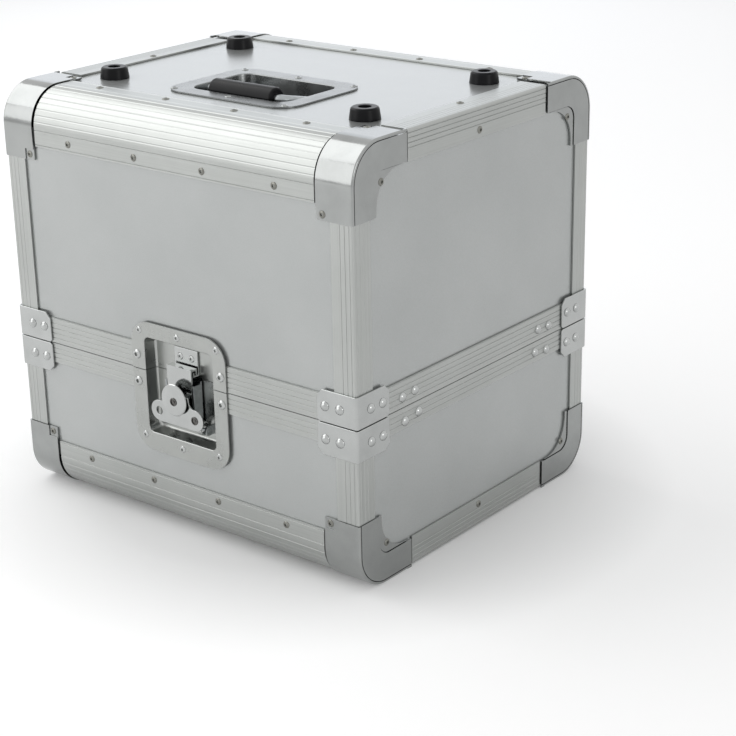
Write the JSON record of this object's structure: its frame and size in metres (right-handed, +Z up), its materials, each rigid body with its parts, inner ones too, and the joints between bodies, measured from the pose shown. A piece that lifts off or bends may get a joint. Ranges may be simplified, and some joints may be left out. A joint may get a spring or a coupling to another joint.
{
  "type": "record carrying case",
  "caption": "Hard record case: a shallow tray under a deep hinged lid, rounded aluminium edges, steel corners, a recessed butterfly latch, a sunk handle and rubber feet.",
  "frame": {"origin": "centre of the case's footprint, on the floor that the tray's corners stand on", "axes": "+Z up, -Y towards the latch face, +X towards the right end face; the case is closed at rest"},
  "size_m": [0.3834, 0.3385, 0.3691],
  "materials": {
    "board": "plywood board faced with a grey metallic laminate",
    "aluminium": "satin anodised, extruded with fine ribs",
    "chrome": "bright plated pressed steel",
    "steel": "zinc plated sheet steel",
    "rubber": "matt moulded rubber"
  },
  "bodies": {
    "tray": {"bottom_panel": "board", "latch_spring": "steel", "tray_back_edge_profile": "aluminium", "tray_back_left_brace": "chrome", "tray_back_left_corner": "chrome", "tray_back_left_post": "aluminium", "tray_back_panel": "board", "tray_back_right_brace": "chrome", "tray_back_right_corner": "chrome", "tray_back_right_post": "aluminium", "tray_front_edge_profile": "aluminium", "tray_front_left_brace": "chrome", "tray_front_left_corner": "chrome", "tray_front_left_post": "aluminium", "tray_front_panel": "board", "tray_front_right_brace": "chrome", "tray_front_right_corner": "chrome", "tray_front_right_post": "aluminium", "tray_hinge_leaf": "steel", "tray_latch_dish": "chrome", "tray_left_end_profile": "aluminium", "tray_left_panel": "board", "tray_rail": "aluminium", "tray_right_end_profile": "aluminium", "tray_right_panel": "board"},
    "lid": {"foot_back_left": "rubber", "foot_back_right": "rubber", "foot_front_left": "rubber", "foot_front_right": "rubber", "handle_dish": "chrome", "latch_keeper": "steel", "lid_back_edge_profile": "aluminium", "lid_back_left_brace": "chrome", "lid_back_left_corner": "chrome", "lid_back_left_post": "aluminium", "lid_back_panel": "board", "lid_back_right_brace": "chrome", "lid_back_right_corner": "chrome", "lid_back_right_post": "aluminium", "lid_front_edge_profile": "aluminium", "lid_front_left_brace": "chrome", "lid_front_left_corner": "chrome", "lid_front_left_post": "aluminium", "lid_front_panel": "board", "lid_front_right_brace": "chrome", "lid_front_right_corner": "chrome", "lid_front_right_post": "aluminium", "lid_hinge_leaf": "steel", "lid_latch_dish": "chrome", "lid_left_end_profile": "aluminium", "lid_left_panel": "board", "lid_rail": "aluminium", "lid_right_end_profile": "aluminium", "lid_right_panel": "board", "top_panel": "board"},
    "handle": {"handle_bail": "steel", "handle_grip": "rubber"},
    "latch_carrier": {"latch_carrier": "steel"},
    "drawbolt": {"latch_drawbolt": "chrome"},
    "wing": {"latch_wing": "chrome"}
  },
  "joints": [
    {"name": "lid_hinge", "type": "hinge", "parent": "tray", "child": "lid", "pos_m": [0, 0.1645, 0.141], "axis": [-1, 0, 0], "range_deg": [0, 100]},
    {"name": "handle_swing", "type": "hinge", "parent": "lid", "child": "handle", "pos_m": [0, -0.0225, 0.35], "axis": [-1, 0, 0], "range_deg": [0, 95], "stiffness_Nm_per_rad": 0.05},
    {"name": "carrier_swing", "type": "hinge", "parent": "tray", "child": "latch_carrier", "pos_m": [0.002, -0.154, 0.099], "axis": [1, 0, 0], "range_deg": [0, 35], "stiffness_Nm_per_rad": 0.02},
    {"name": "wing_turn", "type": "hinge", "parent": "latch_carrier", "child": "wing", "pos_m": [0.002, -0.16, 0.1238], "axis": [0, -1, 0], "range_deg": [0, 180]},
    {"name": "drawbolt_slide", "type": "slide", "parent": "latch_carrier", "child": "drawbolt", "axis": [0, 0, 1], "range_m": [0, 0.006]}
  ],
  "couplings": [
    {"joint": "drawbolt_slide", "follows": "wing_turn", "m_per_rad": 0.0019098}
  ]
}
